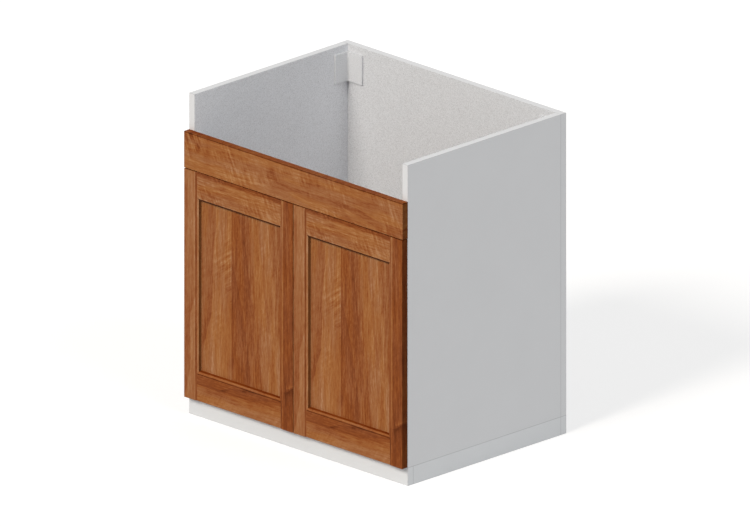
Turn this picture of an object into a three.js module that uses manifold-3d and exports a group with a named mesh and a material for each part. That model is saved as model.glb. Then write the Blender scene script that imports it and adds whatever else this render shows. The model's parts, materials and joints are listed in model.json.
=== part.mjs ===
// Sink base cabinet with a low apron front, an open top and two framed wooden doors.
// Millimetres. +X right, +Y to the back, +Z up. The origin is on the floor, under the
// middle of the whole cabinet, doors included.
//
// The carcass is board on a plinth. The doors are five-piece frames on concealed cup
// hinges, whose cranked links swing the door clear of the side panel as it opens.

import * as THREE from 'three';
import { mergeVertices } from 'three/addons/utils/BufferGeometryUtils.js';
import Module from 'manifold-3d';

const wasm = await Module();
wasm.setup();

// ---- Driving dimensions: carcass -------------------------------------------------
const WIDTH = 800;
const CARCASS_DEPTH = 580;
const HEIGHT = 880;
const BOARD = 20;
const PLINTH_HEIGHT = 50;

// Front: the fixed apron board, and the room left above it for the front of the sink.
const APRON_DROP = 100;
const FASCIA_HEIGHT = 100;
const FASCIA_THICKNESS = 19;
const RAIL_BELOW_FASCIA_TOP = 10;
const RAIL_DOOR_STOP = 18;

// ---- Driving dimensions: doors ---------------------------------------------------
const DOOR_THICKNESS = 19;
const DOOR_TO_CARCASS = 1;
const DOOR_SIDE_REVEAL = 1;
const DOOR_MIDDLE_GAP = 2;
const DOOR_TOP_GAP = 2;
const DOOR_BOTTOM_RAISE = 1;
const STILE_WIDTH = 52;
const TOP_RAIL_HEIGHT = 77.5;
const BOTTOM_RAIL_HEIGHT = 82;

// Moulding on the inner edge of the frame, measured from the edge that meets the panel.
const STILE_BEVEL_START = 12.5;
const STICKING_START = 7;
const STICKING_LIP = 1.5;
const STILE_BEVEL_DEPTH = 1.75;
const STICKING_DEPTH = 3.7;
const PANEL_RECESS = 12;
const QUIRK_OFFSET = 1;
const QUIRK_WIDTH = 1.6;
const QUIRK_DEPTH = 0.8;
const EASED_EDGE = 0.6;
const GROOVE_DEPTH = 8;
const GROOVE_WIDTH = 5;
const PANEL_THICKNESS = 4.8;
const PANEL_EXPANSION = 1;
const COPE_CLEARANCE = 0.3;

// ---- Driving dimensions: concealed hinge -----------------------------------------
// Plan view of a left-hand hinge: x from the cabinet's outer side, y from the carcass
// front, both measured on the closed door.
const HINGE_FROM_DOOR_END = 100;
const CUP_FROM_DOOR_EDGE = 22.5;
const CUP_RADIUS = 17.2;
const CUP_WALL = 1;
const CUP_DEPTH = 12.7;
const CUP_CHAMFER = 1;
const BORING_CLEARANCE = 0.3;
const BORING_EXTRA_DEPTH = 0.5;
const FLANGE_THICKNESS = 0.7;
const FLANGE_RADIUS = 19.5;
const FLANGE_WING_SPAN = 52;
const FLANGE_WING_WIDTH = 15;
const NOTCH_REACH = 3;
const LUG_LAP = 0.4;

const PIVOT_OUTER_ARM = new THREE.Vector2(40.768, 15.975);
const PIVOT_INNER_ARM = new THREE.Vector2(45.735, 5.478);
const PIVOT_OUTER_CUP = new THREE.Vector2(11.008, -3.505);
const PIVOT_INNER_CUP = new THREE.Vector2(13.947, -7.784);
const INNER_PIN = new THREE.Vector2(13.033, -8.613);
const OUTER_LINK_KNEE = new THREE.Vector2(20.096, -8.106);
const INNER_LINK_KNEE = new THREE.Vector2(18.724, -10.189);

const PIN_RADIUS = 1.2;
const INNER_PIN_RADIUS = 1;
const PIN_CLEARANCE = 0.3;
const INNER_PIN_TRAVEL = 1.25;
const SHEET = 1.5;
const LAYER_GAP = 0.3;
const OUTER_LINK_HALF_WIDTH = 1.5;
const INNER_LINK_HALF_WIDTH = 1.7;
const LINK_ROOT_SHARE = 0.22;
const EYE_RADIUS = 2.2;
const ARM_EYE_RADIUS = 3.4;
const LUG_RADIUS = 2.4;
const LUG_SHOULDER = 1;
const INNER_LUG_RADIUS = 3.8;

const PLATE_THICKNESS = 2;
const PLATE_START = 22;
const PLATE_LENGTH = 56;
const PLATE_HALF_HEIGHT = 8;
const PLATE_SCREW_LINE = 37;
const PLATE_WING_HALF_HEIGHT = 22;
const PLATE_WING_WIDTH = 14;
const PLATE_SCREW_SPACING = 32;
const PLATE_SCREW_RADIUS = 3.6;
const PLATE_SCREW_HEIGHT = 1.2;
const BOSS_HEIGHT = 12;
const BOSS_INSET = 3;
const ARM_CHEEK_HEIGHT = 9;
const ARM_CHEEK_START = 10;
const ARM_WEB_START = 8;
const ARM_TOE = 1;
const ARM_SCREW_LINE = 62;
const ARM_SCREW_RADIUS = 2.2;
const ARM_SCREW_HEAD_RADIUS = 4;
const ARM_SCREW_HEAD = 2.2;
const ARM_SCREW_CHAMFER = 0.7;
const ARM_SCREW_LENGTH = 10;
const ARM_SCREW_SLOT = [2.4, 0.5];
const ARM_SCREW_SLOT_DEPTH = 1.2;

// ---- Driving dimensions: small pieces --------------------------------------------
const BUMPER_RADIUS = 4;
const BUMPER_TOP_RADIUS = 2.8;
const BUMPER_THICKNESS = 0.7;
const BUMPER_INSET = 9;
const BRACKET_HEIGHT = 80;
const BRACKET_BELOW_TOP = 20;
const BRACKET_THICKNESS = 5.7;
const BRACKET_SIDE_LEG = 50;
const BRACKET_BACK_LEG = 57;
const BRACKET_FILLET = 4;

const CAM_RADIUS = 7.2;
const CAM_OVER_HEAD = 1.3;
const CAM_FROM_SIDE = 34;
const CAM_FROM_FRONT = 60;
const CAM_CLEARANCE = 0.3;
const CAM_FLOOR = 4;
const CAM_SOCKET_RADIUS = 4.2;
const CAM_KEY = [3, 0.7];
const CAM_KEY_DEPTH = 2;
const BOLT_HEAD_RADIUS = 3.1;
const BOLT_HEAD_LENGTH = 2.6;
const BOLT_NECK_RADIUS = 1.8;
const BOLT_NECK_LENGTH = 3.4;
const BOLT_SHANK_RADIUS = 3.4;
const BOLT_THREAD_RADIUS = 2.5;
const BOLT_THREAD_LENGTH = 11;

// Sides of a round, by its size, and how far a cutting body reaches past what it cuts.
const ROUND = 28;
const MEDIUM_ROUND = 20;
const SMALL_ROUND = 10;
const HALF_ROUND = 5;
const CUT_PAST = 1;

// ---- Places worked out from them -------------------------------------------------
const LEFT = -WIDTH / 2;
const RIGHT = WIDTH / 2;
const DOOR_PROUD = DOOR_TO_CARCASS + DOOR_THICKNESS;
const CARCASS_FRONT = -(CARCASS_DEPTH + DOOR_PROUD) / 2 + DOOR_PROUD;
const CARCASS_BACK = CARCASS_FRONT + CARCASS_DEPTH;
const DOOR_FRONT = CARCASS_FRONT - DOOR_PROUD;
const DOOR_REAR = CARCASS_FRONT - DOOR_TO_CARCASS;
const FASCIA_TOP = HEIGHT - APRON_DROP;
const FASCIA_BOTTOM = FASCIA_TOP - FASCIA_HEIGHT;
const DOOR_BOTTOM = PLINTH_HEIGHT + DOOR_BOTTOM_RAISE;
const DOOR_TOP = FASCIA_BOTTOM - DOOR_TOP_GAP;
const HINGE_HEIGHTS = { bottom: DOOR_BOTTOM + HINGE_FROM_DOOR_END, top: DOOR_TOP - HINGE_FROM_DOOR_END };

// Hinge layers, measured each way from the hinge's middle plane.
const CENTRE_LUG = [0, SHEET];
const INNER_LAYER = [CENTRE_LUG[1] + LAYER_GAP, CENTRE_LUG[1] + LAYER_GAP + SHEET];
const OUTER_LAYER = [INNER_LAYER[1] + LAYER_GAP, INNER_LAYER[1] + LAYER_GAP + SHEET];
const CHEEK_LAYER = [OUTER_LAYER[1] + LAYER_GAP, OUTER_LAYER[1] + LAYER_GAP + SHEET];

// ---- Materials -------------------------------------------------------------------
const paint = (color, roughness, metalness = 0) => ({ color, roughness, metalness });
const BOARD_WHITE = paint(0xd8d8d6, 0.55);
const WOOD = paint(0x9b6139, 0.5);
const STEEL = paint(0xb9bcc0, 0.35, 0.9);
const BRACKET_WHITE = paint(0xcfd0d2, 0.5);
const CLEAR_RUBBER = paint(0xd9dcdc, 0.4);

// ---- Solids ----------------------------------------------------------------------
function signedVolume(positions, triangles) {
  const corner = (i) => new THREE.Vector3().fromArray(positions, 3 * i);
  let six = 0;
  for (let t = 0; t < triangles.length; t += 3) {
    const [a, b, c] = [corner(triangles[t]), corner(triangles[t + 1]), corner(triangles[t + 2])];
    six += a.dot(b.cross(c));
  }
  return six / 6;
}

// Merge shared corners, drop triangles with no area, and turn the faces outwards.
function solid(geometry) {
  const bare = geometry.clone();
  bare.deleteAttribute('normal');
  bare.deleteAttribute('uv');
  const merged = mergeVertices(bare, 1e-4);
  const positions = merged.attributes.position.array;
  const kept = [];
  for (let t = 0; t < merged.index.count; t += 3) {
    const [a, b, c] = [0, 1, 2].map((k) => merged.index.getX(t + k));
    if (a !== b && b !== c && c !== a) kept.push(a, b, c);
  }
  if (signedVolume(positions, kept) < 0) kept.reverse();
  const mesh = new wasm.Mesh({
    numProp: 3,
    vertProperties: new Float32Array(positions),
    triVerts: new Uint32Array(kept),
  });
  return new wasm.Manifold(mesh);
}

function geometryOf(body) {
  const mesh = body.getMesh();
  const geometry = new THREE.BufferGeometry();
  geometry.setAttribute('position', new THREE.BufferAttribute(new Float32Array(mesh.vertProperties), 3));
  geometry.setIndex(new THREE.BufferAttribute(new Uint32Array(mesh.triVerts), 1));
  geometry.computeVertexNormals();
  return geometry;
}

const join = (bodies) => bodies.reduce((sum, body) => sum.add(body));
const cut = (body, tools) => tools.reduce((rest, tool) => rest.subtract(tool), body);

function box([x0, x1], [y0, y1], [z0, z1]) {
  const geometry = new THREE.BoxGeometry(x1 - x0, y1 - y0, z1 - z0);
  return solid(geometry.translate((x0 + x1) / 2, (y0 + y1) / 2, (z0 + z1) / 2));
}

function outline(points) {
  return new THREE.Shape(points.map(([a, b]) => new THREE.Vector2(a, b)));
}

// A plan outline (x, y) raised from z0 to z1.
function raise(shape, [z0, z1]) {
  const geometry = new THREE.ExtrudeGeometry(shape, { depth: z1 - z0, bevelEnabled: false });
  return solid(geometry.translate(0, 0, z0));
}

// An end-on outline (y, z) drawn out along X.
function drawOut(shape, [x0, x1]) {
  const geometry = new THREE.ExtrudeGeometry(shape, { depth: x1 - x0, bevelEnabled: false });
  const turn = new THREE.Matrix4().makeBasis(
    new THREE.Vector3(0, 1, 0),
    new THREE.Vector3(0, 0, 1),
    new THREE.Vector3(1, 0, 0),
  );
  return solid(geometry.applyMatrix4(turn).translate(x0, 0, 0));
}

// A profile of [radius, distance] points turned about an axis through `at`.
function turned(profile, axis, at, segments) {
  const points = profile.map(([radius, along]) => new THREE.Vector2(radius, along));
  const geometry = new THREE.LatheGeometry(points, segments);
  const from = new THREE.Vector3(0, 1, 0);
  geometry.applyQuaternion(new THREE.Quaternion().setFromUnitVectors(from, axis));
  return solid(geometry.translate(at.x, at.y, at.z));
}

function rod(radius, axis, from, length, segments = SMALL_ROUND) {
  return turned([[0, 0], [radius, 0], [radius, length], [0, length]], axis, from, segments);
}

const X_AXIS = new THREE.Vector3(1, 0, 0);
const Y_AXIS = new THREE.Vector3(0, 1, 0);
const Z_AXIS = new THREE.Vector3(0, 0, 1);

// ---- The scene graph -------------------------------------------------------------
const cabinet = new THREE.Group();

function add(name, body, { color, roughness, metalness }) {
  const material = new THREE.MeshStandardMaterial({ color, roughness, metalness });
  const mesh = new THREE.Mesh(geometryOf(body), material);
  mesh.name = name;
  cabinet.add(mesh);
}

// The same body on the cabinet's other side.
const mirrored = (body) => body.mirror([1, 0, 0]);

function addBothSides(name, leftBody, look) {
  const [before, after] = name.split('SIDE');
  add(`${before}left${after}`, leftBody, look);
  add(`${before}right${after}`, mirrored(leftBody), look);
}

// ---- Carcass ---------------------------------------------------------------------
const BOLT_Z = PLINTH_HEIGHT + BOARD / 2;
const CAM_ROWS = { front: CARCASS_FRONT + CAM_FROM_FRONT, back: CARCASS_BACK - BOARD - CAM_FROM_FRONT };
const CAM_X = LEFT + BOARD + CAM_FROM_SIDE;
const BOLT_HEAD_TIP = CAM_X + BOLT_HEAD_LENGTH;
const CAM_DEPTH = BOARD / 2 + BOLT_HEAD_RADIUS + CAM_OVER_HEAD;

// The bolt lies along X: its thread in the side panel, its head inside the cam.
function bolt(y) {
  const threadStart = LEFT + BOARD - BOLT_THREAD_LENGTH;
  const shankStart = LEFT + BOARD;
  const neckStart = CAM_X - BOLT_NECK_LENGTH;
  const profile = [
    [0, threadStart],
    [BOLT_THREAD_RADIUS, threadStart],
    [BOLT_THREAD_RADIUS, shankStart],
    [BOLT_SHANK_RADIUS, shankStart],
    [BOLT_SHANK_RADIUS, neckStart],
    [BOLT_NECK_RADIUS, neckStart],
    [BOLT_NECK_RADIUS, CAM_X],
    [BOLT_HEAD_RADIUS, CAM_X],
    [BOLT_HEAD_RADIUS, BOLT_HEAD_TIP],
    [0, BOLT_HEAD_TIP],
  ];
  return turned(profile, X_AXIS, new THREE.Vector3(0, y, BOLT_Z), SMALL_ROUND);
}

// The bore in the side panel that the bolt's thread bites into.
function threadBore(y) {
  return rod(
    BOLT_THREAD_RADIUS + CAM_CLEARANCE,
    X_AXIS,
    new THREE.Vector3(LEFT + BOARD - BOLT_THREAD_LENGTH - CAM_CLEARANCE, y, BOLT_Z),
    BOLT_THREAD_LENGTH + 2 * CAM_CLEARANCE,
  );
}

// The bore in the bottom panel's end that the bolt's shank slides into.
function shankBore(y) {
  const mouth = new THREE.Vector3(LEFT + BOARD, y, BOLT_Z);
  return rod(BOLT_SHANK_RADIUS + CAM_CLEARANCE, X_AXIS, mouth, CAM_FROM_SIDE);
}

function camPocket(y) {
  const from = new THREE.Vector3(CAM_X, y, PLINTH_HEIGHT - CUT_PAST);
  return rod(CAM_RADIUS + CAM_CLEARANCE, Z_AXIS, from, CAM_DEPTH + CAM_CLEARANCE + CUT_PAST, MEDIUM_ROUND);
}

// The cam: a disc with a hollow for the bolt's head, a slot for its neck and a key recess.
function cam(y) {
  const under = new THREE.Vector3(CAM_X, y, PLINTH_HEIGHT);
  const disc = rod(CAM_RADIUS, Z_AXIS, under, CAM_DEPTH, MEDIUM_ROUND);
  const floor = under.clone().setZ(PLINTH_HEIGHT + CAM_FLOOR);
  const headRoom = rod(CAM_SOCKET_RADIUS, Z_AXIS, floor, CAM_DEPTH, MEDIUM_ROUND);
  const neckRoom = BOLT_SHANK_RADIUS + CAM_CLEARANCE;
  const slot = box(
    [CAM_X - CAM_RADIUS - CUT_PAST, CAM_X],
    [y - neckRoom, y + neckRoom],
    [BOLT_Z - neckRoom, PLINTH_HEIGHT + CAM_DEPTH + CUT_PAST],
  );
  const key = ([alongX, alongY]) => box(
    [CAM_X - alongX, CAM_X + alongX],
    [y - alongY, y + alongY],
    [PLINTH_HEIGHT - CUT_PAST, PLINTH_HEIGHT + CAM_KEY_DEPTH],
  );
  return cut(disc, [headRoom, slot, key(CAM_KEY), key(CAM_KEY.toReversed())]);
}

function sidePanel() {
  const panel = box([LEFT, LEFT + BOARD], [CARCASS_FRONT, CARCASS_BACK - BOARD], [PLINTH_HEIGHT, HEIGHT]);
  return cut(panel, Object.values(CAM_ROWS).map(threadBore));
}

function bottomPanel() {
  const panel = box(
    [LEFT + BOARD, RIGHT - BOARD],
    [CARCASS_FRONT, CARCASS_BACK - BOARD],
    [PLINTH_HEIGHT, PLINTH_HEIGHT + BOARD],
  );
  const holes = Object.values(CAM_ROWS).flatMap((y) => [shankBore(y), camPocket(y)]);
  return cut(panel, [...holes, ...holes.map(mirrored)]);
}

function backPanel() {
  return box([LEFT, RIGHT], [CARCASS_BACK - BOARD, CARCASS_BACK], [PLINTH_HEIGHT, HEIGHT]);
}

// The rail behind the fascia, which also stops the doors' top edges.
function frontRail() {
  return box(
    [LEFT + BOARD, RIGHT - BOARD],
    [CARCASS_FRONT, CARCASS_FRONT + BOARD],
    [DOOR_TOP - RAIL_DOOR_STOP, FASCIA_TOP - RAIL_BELOW_FASCIA_TOP],
  );
}

// One board of the plinth, from the floor up to the carcass.
const plinth = (x, y) => box(x, y, [0, PLINTH_HEIGHT]);

// An L of folded strip in the rear top corner, with its inner corner filled round.
function cornerBracket() {
  const inside = LEFT + BOARD;
  const back = CARCASS_BACK - BOARD;
  const legX = inside + BRACKET_THICKNESS;
  const legY = back - BRACKET_THICKNESS;
  const shape = new THREE.Shape();
  shape.moveTo(inside, back - BRACKET_SIDE_LEG);
  shape.lineTo(legX, back - BRACKET_SIDE_LEG);
  shape.lineTo(legX, legY - BRACKET_FILLET);
  shape.absarc(legX + BRACKET_FILLET, legY - BRACKET_FILLET, BRACKET_FILLET, Math.PI, Math.PI / 2, true);
  shape.lineTo(inside + BRACKET_BACK_LEG, legY);
  shape.lineTo(inside + BRACKET_BACK_LEG, back);
  shape.lineTo(inside, back);
  const top = HEIGHT - BRACKET_BELOW_TOP;
  return raise(shape, [top - BRACKET_HEIGHT, top]);
}

addBothSides('side_panel_SIDE', sidePanel(), BOARD_WHITE);
add('bottom_panel', bottomPanel(), BOARD_WHITE);
add('back_panel', backPanel(), BOARD_WHITE);
add('front_rail', frontRail(), BOARD_WHITE);
add('plinth_front', plinth([LEFT, RIGHT], [CARCASS_FRONT, CARCASS_FRONT + BOARD]), BOARD_WHITE);
add('plinth_back', plinth([LEFT, RIGHT], [CARCASS_BACK - BOARD, CARCASS_BACK]), BOARD_WHITE);
addBothSides(
  'plinth_SIDE',
  plinth([LEFT, LEFT + BOARD], [CARCASS_FRONT + BOARD, CARCASS_BACK - BOARD]),
  BOARD_WHITE,
);
addBothSides('corner_bracket_SIDE', cornerBracket(), BRACKET_WHITE);

for (const [row, y] of Object.entries(CAM_ROWS)) {
  addBothSides(`cam_lock_SIDE_${row}`, cam(y), STEEL);
  addBothSides(`cam_bolt_SIDE_${row}`, bolt(y), STEEL);
}

// ---- Fascia ----------------------------------------------------------------------
function fascia() {
  const front = CARCASS_FRONT - FASCIA_THICKNESS;
  const section = outline([
    [CARCASS_FRONT, FASCIA_BOTTOM],
    [CARCASS_FRONT, FASCIA_TOP],
    [front + EASED_EDGE, FASCIA_TOP],
    [front, FASCIA_TOP - EASED_EDGE],
    [front, FASCIA_BOTTOM + EASED_EDGE],
    [front + EASED_EDGE, FASCIA_BOTTOM],
  ]);
  return drawOut(section, [LEFT, RIGHT]);
}

add('fascia', fascia(), WOOD);

// ---- Doors -----------------------------------------------------------------------
// The left door; the right one mirrors it.
const DOOR_LEFT = LEFT + DOOR_SIDE_REVEAL;
const DOOR_RIGHT = -DOOR_MIDDLE_GAP / 2;
const CUP_X = DOOR_LEFT + CUP_FROM_DOOR_EDGE;
const GROOVE_FRONT = PANEL_RECESS;
const GROOVE_BACK = PANEL_RECESS + GROOVE_WIDTH;

// Section of a frame member: [from the outer edge inwards, back from the door's front].
// `grow` swells the member, for the cut that fits the next piece over it.
function memberSection(width, faceDepth, bevelStart, grow = 0) {
  return [
    [-grow, EASED_EDGE - grow],
    [EASED_EDGE - grow, -grow + faceDepth],
    [width - bevelStart, faceDepth - grow],
    [width - STICKING_START, STILE_BEVEL_DEPTH - grow],
    [width - STICKING_LIP + grow, STICKING_DEPTH - grow],
    [width + grow, PANEL_RECESS + grow],
    [width - GROOVE_DEPTH + grow, GROOVE_FRONT + grow],
    [width - GROOVE_DEPTH + grow, GROOVE_BACK - grow],
    [width + grow, GROOVE_BACK - grow],
    [width + grow, DOOR_THICKNESS + grow],
    [-grow, DOOR_THICKNESS + grow],
  ];
}

function stileSection(side, grow) {
  const [edge, inwards] = side === 'outer' ? [DOOR_LEFT, 1] : [DOOR_RIGHT, -1];
  return outline(memberSection(STILE_WIDTH, 0, STILE_BEVEL_START, grow).map(
    ([across, back]) => [edge + inwards * across, DOOR_FRONT + back],
  ));
}

function stile(side) {
  const member = raise(stileSection(side, 0), [DOOR_BOTTOM, DOOR_TOP]);
  if (side !== 'outer') return member;
  const boring = (z) => rod(
    CUP_RADIUS + BORING_CLEARANCE,
    Y_AXIS,
    new THREE.Vector3(CUP_X, DOOR_REAR - CUP_DEPTH - BORING_EXTRA_DEPTH, z),
    CUP_DEPTH + BORING_EXTRA_DEPTH + CUT_PAST,
    ROUND,
  );
  return cut(member, Object.values(HINGE_HEIGHTS).map(boring));
}

// A rail's face lies as deep as the stile's bevel ends, with a fine quirk beside the
// moulding. Its ends are coped over the stiles and leave a stub tenon in their grooves.
function railSection(height) {
  const faced = memberSection(height, STILE_BEVEL_DEPTH, STILE_BEVEL_START);
  const quirkEnd = height - STICKING_START - QUIRK_OFFSET;
  const quirk = [
    [quirkEnd - QUIRK_WIDTH, STILE_BEVEL_DEPTH],
    [quirkEnd - QUIRK_WIDTH / 2, STILE_BEVEL_DEPTH + QUIRK_DEPTH],
    [quirkEnd, STILE_BEVEL_DEPTH],
  ];
  faced.splice(2, 1, ...quirk);
  return [[0, STILE_BEVEL_DEPTH + EASED_EDGE], ...faced.slice(1)];
}

function rail(end) {
  const [edge, inwards, height] = end === 'top'
    ? [DOOR_TOP, -1, TOP_RAIL_HEIGHT]
    : [DOOR_BOTTOM, 1, BOTTOM_RAIL_HEIGHT];
  const section = outline(railSection(height).map(
    ([across, back]) => [DOOR_FRONT + back, edge + inwards * across],
  ));
  const tenonInset = STILE_WIDTH - GROOVE_DEPTH + PANEL_EXPANSION;
  const member = drawOut(section, [DOOR_LEFT + tenonInset, DOOR_RIGHT - tenonInset]);
  const past = [DOOR_BOTTOM - CUT_PAST, DOOR_TOP + CUT_PAST];
  const copes = ['outer', 'middle'].map((side) => raise(stileSection(side, COPE_CLEARANCE), past));
  return cut(member, copes);
}

function doorPanel() {
  const inset = GROOVE_DEPTH - PANEL_EXPANSION;
  const front = DOOR_FRONT + PANEL_RECESS;
  return box(
    [DOOR_LEFT + STILE_WIDTH - inset, DOOR_RIGHT - STILE_WIDTH + inset],
    [front, front + PANEL_THICKNESS],
    [DOOR_BOTTOM + BOTTOM_RAIL_HEIGHT - inset, DOOR_TOP - TOP_RAIL_HEIGHT + inset],
  );
}

// A soft stop on the door's back, near its free edge.
function bumper(z) {
  const dome = [[0, 0], [BUMPER_RADIUS, 0], [BUMPER_TOP_RADIUS, BUMPER_THICKNESS], [0, BUMPER_THICKNESS]];
  return turned(dome, Y_AXIS, new THREE.Vector3(DOOR_RIGHT - BUMPER_INSET, DOOR_REAR, z), MEDIUM_ROUND);
}

addBothSides('SIDE_door_hinge_stile', stile('outer'), WOOD);
addBothSides('SIDE_door_middle_stile', stile('middle'), WOOD);
addBothSides('SIDE_door_top_rail', rail('top'), WOOD);
addBothSides('SIDE_door_bottom_rail', rail('bottom'), WOOD);
addBothSides('SIDE_door_panel', doorPanel(), WOOD);
addBothSides('SIDE_door_bumper_bottom', bumper(DOOR_BOTTOM + BUMPER_INSET), CLEAR_RUBBER);
addBothSides('SIDE_door_bumper_top', bumper(DOOR_TOP - BUMPER_INSET), CLEAR_RUBBER);

// ---- Hinges ----------------------------------------------------------------------
// Built in the plan view's own x and y at height 0, then moved to their place.
const CUP_CENTRE = DOOR_SIDE_REVEAL + CUP_FROM_DOOR_EDGE;
const HINGE_DOOR_BACK = -DOOR_TO_CARCASS;
const CUP_FLOOR = HINGE_DOOR_BACK - CUP_DEPTH + CUP_WALL;
const placeHinge = (body, z) => body.translate([LEFT, CARCASS_FRONT, z]);

// Points of a half circle of the given radius, starting at the given heading.
function halfCircle(centre, radius, heading) {
  return Array.from({ length: HALF_ROUND + 1 }, (_, i) => {
    const angle = heading + (Math.PI * i) / HALF_ROUND;
    return [centre.x + radius * Math.cos(angle), centre.y + radius * Math.sin(angle)];
  });
}

const disc = (centre, radius) => outline([
  ...halfCircle(centre, radius, 0).slice(1),
  ...halfCircle(centre, radius, Math.PI).slice(1),
]);

// A straight strap between two points, round at both ends.
function strap(from, to, halfWidth) {
  const heading = Math.atan2(to.y - from.y, to.x - from.x);
  return outline([
    ...halfCircle(from, halfWidth, heading + Math.PI / 2),
    ...halfCircle(to, halfWidth, heading - Math.PI / 2),
  ]);
}

const bothWays = ([near, far]) => [[near, far], [-far, -near]];

function upright(centre, radius, halfLength) {
  const from = new THREE.Vector3(centre.x, centre.y, -halfLength);
  return rod(radius, Z_AXIS, from, 2 * halfLength);
}

// Two cranked cheeks, a solid root at the arm's end and the pins that they turn on.
function link({ arm, knee, cup, layer, halfWidth, cupPin, cupPinHalfLength }) {
  const root = arm.clone().lerp(knee, LINK_ROOT_SHARE);
  const cheeks = bothWays(layer).flatMap((span) => [
    raise(strap(arm, knee, halfWidth), span),
    raise(strap(knee, cup, halfWidth), span),
    raise(disc(arm, EYE_RADIUS), span),
    raise(disc(cup, EYE_RADIUS), span),
  ]);
  return join([
    ...cheeks,
    raise(strap(arm, root, EYE_RADIUS), [-layer[1], layer[1]]),
    upright(arm, PIN_RADIUS, CHEEK_LAYER[1]),
    upright(cup, cupPin, cupPinHalfLength),
  ]);
}

const outerLink = () => link({
  arm: PIVOT_OUTER_ARM,
  knee: OUTER_LINK_KNEE,
  cup: PIVOT_OUTER_CUP,
  layer: OUTER_LAYER,
  halfWidth: OUTER_LINK_HALF_WIDTH,
  cupPin: PIN_RADIUS,
  cupPinHalfLength: CHEEK_LAYER[1],
});

const innerLink = () => link({
  arm: PIVOT_INNER_ARM,
  knee: INNER_LINK_KNEE,
  cup: INNER_PIN,
  layer: INNER_LAYER,
  halfWidth: INNER_LINK_HALF_WIDTH,
  cupPin: INNER_PIN_RADIUS,
  cupPinHalfLength: INNER_LAYER[1],
});

// A pressed cup with a winged flange, and the lugs that hold the links' pins.
function hingeCup() {
  const centre = new THREE.Vector3(CUP_CENTRE, HINGE_DOOR_BACK, 0);
  const inner = CUP_RADIUS - CUP_WALL;
  const shell = turned(
    [
      [0, -CUP_DEPTH],
      [CUP_RADIUS - CUP_CHAMFER, -CUP_DEPTH],
      [CUP_RADIUS, CUP_CHAMFER - CUP_DEPTH],
      [CUP_RADIUS, 0],
      [FLANGE_RADIUS, 0],
      [FLANGE_RADIUS, FLANGE_THICKNESS],
      [inner, FLANGE_THICKNESS],
      [inner, CUP_WALL - CUP_DEPTH],
      [0, CUP_WALL - CUP_DEPTH],
    ],
    Y_AXIS,
    centre,
    ROUND,
  );
  const wingHalf = FLANGE_WING_WIDTH / 2;
  const flangeSpan = [HINGE_DOOR_BACK, HINGE_DOOR_BACK + FLANGE_THICKNESS];
  const wings = [1, -1].map((way) => {
    const ends = [way * inner, way * FLANGE_WING_SPAN / 2].sort((a, b) => a - b);
    return box([CUP_CENTRE - wingHalf, CUP_CENTRE + wingHalf], flangeSpan, ends);
  });
  const mouthNotch = box(
    [CUP_CENTRE - FLANGE_RADIUS - CUT_PAST, CUP_CENTRE - inner + NOTCH_REACH],
    [HINGE_DOOR_BACK, HINGE_DOOR_BACK + FLANGE_THICKNESS + CUT_PAST],
    [-CHEEK_LAYER[1] - LAYER_GAP, CHEEK_LAYER[1] + LAYER_GAP],
  );
  // The lugs lap into the cup's wall, which curves away over the lugs' height.
  const wallX = CUP_CENTRE - CUP_RADIUS + LUG_LAP;
  const wallAtLug = CUP_CENTRE - Math.sqrt(CUP_RADIUS ** 2 - CHEEK_LAYER[1] ** 2) + LUG_LAP;
  const sideLugs = bothWays(CHEEK_LAYER).map((span) => join([
    raise(disc(PIVOT_OUTER_CUP, LUG_RADIUS), span),
    box(
      [wallAtLug, PIVOT_OUTER_CUP.x],
      [PIVOT_OUTER_CUP.y - LUG_RADIUS, HINGE_DOOR_BACK - LAYER_GAP],
      span,
    ),
  ]));
  const lugRight = PIVOT_INNER_CUP.x + INNER_LUG_RADIUS;
  const lugTop = PIVOT_OUTER_CUP.y + LUG_RADIUS - LAYER_GAP;
  const centreLug = raise(
    outline([
      [wallX, CUP_FLOOR - CUP_WALL / 2],
      [lugRight, CUP_FLOOR - CUP_WALL / 2],
      [lugRight, PIVOT_INNER_CUP.y + LUG_SHOULDER],
      [PIVOT_OUTER_CUP.x + LUG_RADIUS, PIVOT_OUTER_CUP.y + LUG_SHOULDER],
      [PIVOT_OUTER_CUP.x + LUG_SHOULDER, lugTop],
      [wallX, lugTop],
    ]),
    [-CENTRE_LUG[1], CENTRE_LUG[1]],
  );
  const pinHole = upright(PIVOT_OUTER_CUP, PIN_RADIUS + PIN_CLEARANCE, CHEEK_LAYER[1] + LAYER_GAP);
  const looseHole = upright(
    PIVOT_INNER_CUP,
    INNER_PIN_RADIUS + INNER_PIN_TRAVEL + PIN_CLEARANCE,
    CENTRE_LUG[1] + LAYER_GAP / 2,
  );
  return cut(join([shell, ...wings, ...sideLugs, centreLug]), [mouthNotch, pinHole, looseHole]);
}

// The plate on the side panel, with the rail that the arm straddles.
const BOSS_TOP = BOARD + PLATE_THICKNESS + BOSS_HEIGHT;
const PLATE_END = PLATE_START + PLATE_LENGTH;

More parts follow.
